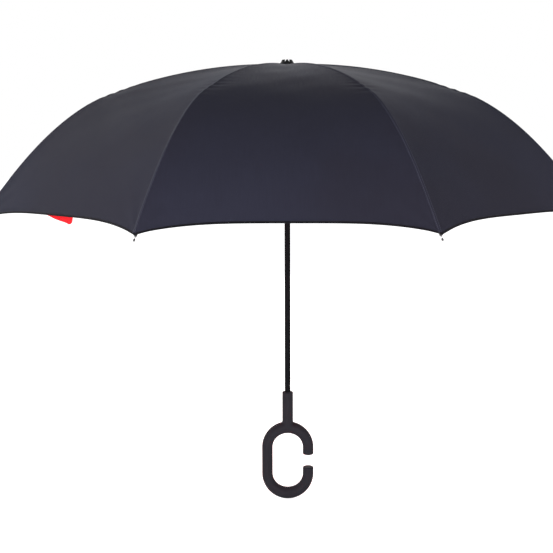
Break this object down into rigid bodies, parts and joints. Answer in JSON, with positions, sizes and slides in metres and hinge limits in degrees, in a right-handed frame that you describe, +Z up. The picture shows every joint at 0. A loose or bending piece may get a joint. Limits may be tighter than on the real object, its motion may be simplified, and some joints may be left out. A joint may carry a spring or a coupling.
{
  "type": "reverse folding umbrella",
  "caption": "Open reverse-folding umbrella with a domed outer layer, a red inner layer, hinged ribs on a sliding runner, a dark shaft and a C-shaped handle.",
  "frame": {"origin": "on the shaft's axis at the middle of the handle's stem, where a hand holds it", "axes": "+Z up along the shaft towards the crown; +X towards the mouth of the C handle; -Y towards the viewer in the picture"},
  "size_m": [0.9978, 0.9978, 0.8114],
  "materials": {
    "handle_rubber": "soft-touch matte",
    "shaft_steel": "satin black",
    "crown_plastic": "matte",
    "cap_plastic": "satin",
    "runner_plastic": "matte",
    "wire_steel": "bright drawn wire",
    "catch_steel": "satin spring steel",
    "arm_steel": "satin black",
    "rib_steel": "satin black",
    "rod_resin": "satin black glass-fibre resin",
    "outer_fabric": "fine plain weave with a slight sheen",
    "inner_fabric": "fine plain weave with a slight sheen",
    "strap_webbing": "stitched double fabric"
  },
  "bodies": {
    "handle_and_shaft": {"handle": "handle_rubber", "shaft": "shaft_steel", "crown": "crown_plastic", "crown_wire": "wire_steel", "crown_cap": "cap_plastic"},
    "runner": {"runner": "runner_plastic"},
    "upper_catch": {"upper_catch": "catch_steel"},
    "lower_catch": {"lower_catch": "catch_steel"},
    "arm_1": {"arm_1": "arm_steel"},
    "rib_1": {"rib_1": "rib_steel", "inner_panel_1": "inner_fabric"},
    "rod_1": {"rod_1": "rod_resin", "outer_panel_1": "outer_fabric"},
    "rodend_1": {"rodend_1": "rod_resin"},
    "arm_2": {"arm_2": "arm_steel"},
    "rib_2": {"rib_2": "rib_steel", "inner_panel_2": "inner_fabric"},
    "rod_2": {"rod_2": "rod_resin", "outer_panel_2": "outer_fabric"},
    "rodend_2": {"rodend_2": "rod_resin"},
    "arm_3": {"arm_3": "arm_steel"},
    "rib_3": {"rib_3": "rib_steel", "inner_panel_3": "inner_fabric"},
    "rod_3": {"rod_3": "rod_resin", "outer_panel_3": "outer_fabric"},
    "rodend_3": {"rodend_3": "rod_resin"},
    "arm_4": {"arm_4": "arm_steel"},
    "rib_4": {"rib_4": "rib_steel", "inner_panel_4": "inner_fabric"},
    "rod_4": {"rod_4": "rod_resin", "outer_panel_4": "outer_fabric"},
    "rodend_4": {"rodend_4": "rod_resin"},
    "arm_5": {"arm_5": "arm_steel"},
    "rib_5": {"rib_5": "rib_steel", "inner_panel_5": "inner_fabric"},
    "rod_5": {"rod_5": "rod_resin", "outer_panel_5": "outer_fabric"},
    "rodend_5": {"rodend_5": "rod_resin", "tie_strap": "strap_webbing"},
    "arm_6": {"arm_6": "arm_steel"},
    "rib_6": {"rib_6": "rib_steel", "inner_panel_6": "inner_fabric"},
    "rod_6": {"rod_6": "rod_resin", "outer_panel_6": "outer_fabric"},
    "rodend_6": {"rodend_6": "rod_resin"},
    "arm_7": {"arm_7": "arm_steel"},
    "rib_7": {"rib_7": "rib_steel", "inner_panel_7": "inner_fabric"},
    "rod_7": {"rod_7": "rod_resin", "outer_panel_7": "outer_fabric"},
    "rodend_7": {"rodend_7": "rod_resin"},
    "arm_8": {"arm_8": "arm_steel"},
    "rib_8": {"rib_8": "rib_steel", "inner_panel_8": "inner_fabric"},
    "rod_8": {"rod_8": "rod_resin", "outer_panel_8": "outer_fabric"},
    "rodend_8": {"rodend_8": "rod_resin"}
  },
  "joints": [
    {"name": "runner_slide", "type": "slide", "parent": "handle_and_shaft", "child": "runner", "axis": [0, 0, 1], "range_m": [-0.46507, 0], "deforming": ["upper_catch", "lower_catch", "outer_panel_1", "inner_panel_1", "outer_panel_2", "inner_panel_2", "outer_panel_3", "inner_panel_3", "outer_panel_4", "inner_panel_4", "outer_panel_5", "inner_panel_5", "outer_panel_6", "inner_panel_6", "outer_panel_7", "inner_panel_7", "outer_panel_8", "inner_panel_8", "tie_strap"]},
    {"name": "arm_1_fold", "type": "hinge", "parent": "handle_and_shaft", "child": "arm_1", "pos_m": [0.01016, 0.00421, 0.61867], "axis": [-0.3827, 0.9239, 0], "range_deg": [0, 76.41]},
    {"name": "rib_1_fold", "type": "hinge", "parent": "arm_1", "child": "rib_1", "pos_m": [0.261, 0.10811, 0.57767], "axis": [-0.3827, 0.9239, 0], "range_deg": [-152.82, 0]},
    {"name": "rod_1_flex", "type": "hinge", "parent": "rib_1", "child": "rod_1", "pos_m": [0.261, 0.10811, 0.57767], "axis": [-0.3827, 0.9239, 0], "range_deg": [-26, 0]},
    {"name": "rodend_1_flex", "type": "hinge", "parent": "rod_1", "child": "rodend_1", "pos_m": [0.33241, 0.13769, 0.54495], "axis": [-0.3827, 0.9239, 0], "range_deg": [-28, 0]},
    {"name": "arm_2_fold", "type": "hinge", "parent": "handle_and_shaft", "child": "arm_2", "pos_m": [0.00421, 0.01016, 0.61867], "axis": [-0.9239, 0.3827, 0], "range_deg": [0, 76.41]},
    {"name": "rib_2_fold", "type": "hinge", "parent": "arm_2", "child": "rib_2", "pos_m": [0.10811, 0.261, 0.57767], "axis": [-0.9239, 0.3827, 0], "range_deg": [-152.82, 0]},
    {"name": "rod_2_flex", "type": "hinge", "parent": "rib_2", "child": "rod_2", "pos_m": [0.10811, 0.261, 0.57767], "axis": [-0.9239, 0.3827, 0], "range_deg": [-26, 0]},
    {"name": "rodend_2_flex", "type": "hinge", "parent": "rod_2", "child": "rodend_2", "pos_m": [0.13769, 0.33241, 0.54495], "axis": [-0.9239, 0.3827, 0], "range_deg": [-28, 0]},
    {"name": "arm_3_fold", "type": "hinge", "parent": "handle_and_shaft", "child": "arm_3", "pos_m": [-0.00421, 0.01016, 0.61867], "axis": [-0.9239, -0.3827, 0], "range_deg": [0, 76.41]},
    {"name": "rib_3_fold", "type": "hinge", "parent": "arm_3", "child": "rib_3", "pos_m": [-0.10811, 0.261, 0.57767], "axis": [-0.9239, -0.3827, 0], "range_deg": [-152.82, 0]},
    {"name": "rod_3_flex", "type": "hinge", "parent": "rib_3", "child": "rod_3", "pos_m": [-0.10811, 0.261, 0.57767], "axis": [-0.9239, -0.3827, 0], "range_deg": [-26, 0]},
    {"name": "rodend_3_flex", "type": "hinge", "parent": "rod_3", "child": "rodend_3", "pos_m": [-0.13769, 0.33241, 0.54495], "axis": [-0.9239, -0.3827, 0], "range_deg": [-28, 0]},
    {"name": "arm_4_fold", "type": "hinge", "parent": "handle_and_shaft", "child": "arm_4", "pos_m": [-0.01016, 0.00421, 0.61867], "axis": [-0.3827, -0.9239, 0], "range_deg": [0, 76.41]},
    {"name": "rib_4_fold", "type": "hinge", "parent": "arm_4", "child": "rib_4", "pos_m": [-0.261, 0.10811, 0.57767], "axis": [-0.3827, -0.9239, 0], "range_deg": [-152.82, 0]},
    {"name": "rod_4_flex", "type": "hinge", "parent": "rib_4", "child": "rod_4", "pos_m": [-0.261, 0.10811, 0.57767], "axis": [-0.3827, -0.9239, 0], "range_deg": [-26, 0]},
    {"name": "rodend_4_flex", "type": "hinge", "parent": "rod_4", "child": "rodend_4", "pos_m": [-0.33241, 0.13769, 0.54495], "axis": [-0.3827, -0.9239, 0], "range_deg": [-28, 0]},
    {"name": "arm_5_fold", "type": "hinge", "parent": "handle_and_shaft", "child": "arm_5", "pos_m": [-0.01016, -0.00421, 0.61867], "axis": [0.3827, -0.9239, 0], "range_deg": [0, 76.41]},
    {"name": "rib_5_fold", "type": "hinge", "parent": "arm_5", "child": "rib_5", "pos_m": [-0.261, -0.10811, 0.57767], "axis": [0.3827, -0.9239, 0], "range_deg": [-152.82, 0]},
    {"name": "rod_5_flex", "type": "hinge", "parent": "rib_5", "child": "rod_5", "pos_m": [-0.261, -0.10811, 0.57767], "axis": [0.3827, -0.9239, 0], "range_deg": [-26, 0]},
    {"name": "rodend_5_flex", "type": "hinge", "parent": "rod_5", "child": "rodend_5", "pos_m": [-0.33241, -0.13769, 0.54495], "axis": [0.3827, -0.9239, 0], "range_deg": [-28, 0]},
    {"name": "arm_6_fold", "type": "hinge", "parent": "handle_and_shaft", "child": "arm_6", "pos_m": [-0.00421, -0.01016, 0.61867], "axis": [0.9239, -0.3827, 0], "range_deg": [0, 76.41]},
    {"name": "rib_6_fold", "type": "hinge", "parent": "arm_6", "child": "rib_6", "pos_m": [-0.10811, -0.261, 0.57767], "axis": [0.9239, -0.3827, 0], "range_deg": [-152.82, 0]},
    {"name": "rod_6_flex", "type": "hinge", "parent": "rib_6", "child": "rod_6", "pos_m": [-0.10811, -0.261, 0.57767], "axis": [0.9239, -0.3827, 0], "range_deg": [-26, 0]},
    {"name": "rodend_6_flex", "type": "hinge", "parent": "rod_6", "child": "rodend_6", "pos_m": [-0.13769, -0.33241, 0.54495], "axis": [0.9239, -0.3827, 0], "range_deg": [-28, 0]},
    {"name": "arm_7_fold", "type": "hinge", "parent": "handle_and_shaft", "child": "arm_7", "pos_m": [0.00421, -0.01016, 0.61867], "axis": [0.9239, 0.3827, 0], "range_deg": [0, 76.41]},
    {"name": "rib_7_fold", "type": "hinge", "parent": "arm_7", "child": "rib_7", "pos_m": [0.10811, -0.261, 0.57767], "axis": [0.9239, 0.3827, 0], "range_deg": [-152.82, 0]},
    {"name": "rod_7_flex", "type": "hinge", "parent": "rib_7", "child": "rod_7", "pos_m": [0.10811, -0.261, 0.57767], "axis": [0.9239, 0.3827, 0], "range_deg": [-26, 0]},
    {"name": "rodend_7_flex", "type": "hinge", "parent": "rod_7", "child": "rodend_7", "pos_m": [0.13769, -0.33241, 0.54495], "axis": [0.9239, 0.3827, 0], "range_deg": [-28, 0]},
    {"name": "arm_8_fold", "type": "hinge", "parent": "handle_and_shaft", "child": "arm_8", "pos_m": [0.01016, -0.00421, 0.61867], "axis": [0.3827, 0.9239, 0], "range_deg": [0, 76.41]},
    {"name": "rib_8_fold", "type": "hinge", "parent": "arm_8", "child": "rib_8", "pos_m": [0.261, -0.10811, 0.57767], "axis": [0.3827, 0.9239, 0], "range_deg": [-152.82, 0]},
    {"name": "rod_8_flex", "type": "hinge", "parent": "rib_8", "child": "rod_8", "pos_m": [0.261, -0.10811, 0.57767], "axis": [0.3827, 0.9239, 0], "range_deg": [-26, 0]},
    {"name": "rodend_8_flex", "type": "hinge", "parent": "rod_8", "child": "rodend_8", "pos_m": [0.33241, -0.13769, 0.54495], "axis": [0.3827, 0.9239, 0], "range_deg": [-28, 0]},
    {"name": "upper_catch_press", "type": "hinge", "parent": "handle_and_shaft", "child": "upper_catch", "pos_m": [0, 0, 0.47917], "axis": [0, 1, 0], "range_deg": [-6.8, 0], "stiffness_Nm_per_rad": 0.3, "springref_deg": 2.86},
    {"name": "lower_catch_press", "type": "hinge", "parent": "handle_and_shaft", "child": "lower_catch", "pos_m": [0, 0, 0.0141], "axis": [0, 1, 0], "range_deg": [-6.8, 0], "stiffness_Nm_per_rad": 0.3, "springref_deg": 2.86}
  ],
  "couplings": [
    {"joint": "arm_1_fold", "follows": "runner_slide", "rad_per_m": -2.8677},
    {"joint": "rib_1_fold", "follows": "runner_slide", "rad_per_m": 5.7353},
    {"joint": "rod_1_flex", "follows": "runner_slide", "rad_per_m": 0.97574},
    {"joint": "rodend_1_flex", "follows": "runner_slide", "rad_per_m": 1.0508},
    {"joint": "arm_2_fold", "follows": "runner_slide", "rad_per_m": -2.8677},
    {"joint": "rib_2_fold", "follows": "runner_slide", "rad_per_m": 5.7353},
    {"joint": "rod_2_flex", "follows": "runner_slide", "rad_per_m": 0.97574},
    {"joint": "rodend_2_flex", "follows": "runner_slide", "rad_per_m": 1.0508},
    {"joint": "arm_3_fold", "follows": "runner_slide", "rad_per_m": -2.8677},
    {"joint": "rib_3_fold", "follows": "runner_slide", "rad_per_m": 5.7353},
    {"joint": "rod_3_flex", "follows": "runner_slide", "rad_per_m": 0.97574},
    {"joint": "rodend_3_flex", "follows": "runner_slide", "rad_per_m": 1.0508},
    {"joint": "arm_4_fold", "follows": "runner_slide", "rad_per_m": -2.8677},
    {"joint": "rib_4_fold", "follows": "runner_slide", "rad_per_m": 5.7353},
    {"joint": "rod_4_flex", "follows": "runner_slide", "rad_per_m": 0.97574},
    {"joint": "rodend_4_flex", "follows": "runner_slide", "rad_per_m": 1.0508},
    {"joint": "arm_5_fold", "follows": "runner_slide", "rad_per_m": -2.8677},
    {"joint": "rib_5_fold", "follows": "runner_slide", "rad_per_m": 5.7353},
    {"joint": "rod_5_flex", "follows": "runner_slide", "rad_per_m": 0.97574},
    {"joint": "rodend_5_flex", "follows": "runner_slide", "rad_per_m": 1.0508},
    {"joint": "arm_6_fold", "follows": "runner_slide", "rad_per_m": -2.8677},
    {"joint": "rib_6_fold", "follows": "runner_slide", "rad_per_m": 5.7353},
    {"joint": "rod_6_flex", "follows": "runner_slide", "rad_per_m": 0.97574},
    {"joint": "rodend_6_flex", "follows": "runner_slide", "rad_per_m": 1.0508},
    {"joint": "arm_7_fold", "follows": "runner_slide", "rad_per_m": -2.8677},
    {"joint": "rib_7_fold", "follows": "runner_slide", "rad_per_m": 5.7353},
    {"joint": "rod_7_flex", "follows": "runner_slide", "rad_per_m": 0.97574},
    {"joint": "rodend_7_flex", "follows": "runner_slide", "rad_per_m": 1.0508},
    {"joint": "arm_8_fold", "follows": "runner_slide", "rad_per_m": -2.8677},
    {"joint": "rib_8_fold", "follows": "runner_slide", "rad_per_m": 5.7353},
    {"joint": "rod_8_flex", "follows": "runner_slide", "rad_per_m": 0.97574},
    {"joint": "rodend_8_flex", "follows": "runner_slide", "rad_per_m": 1.0508}
  ]
}
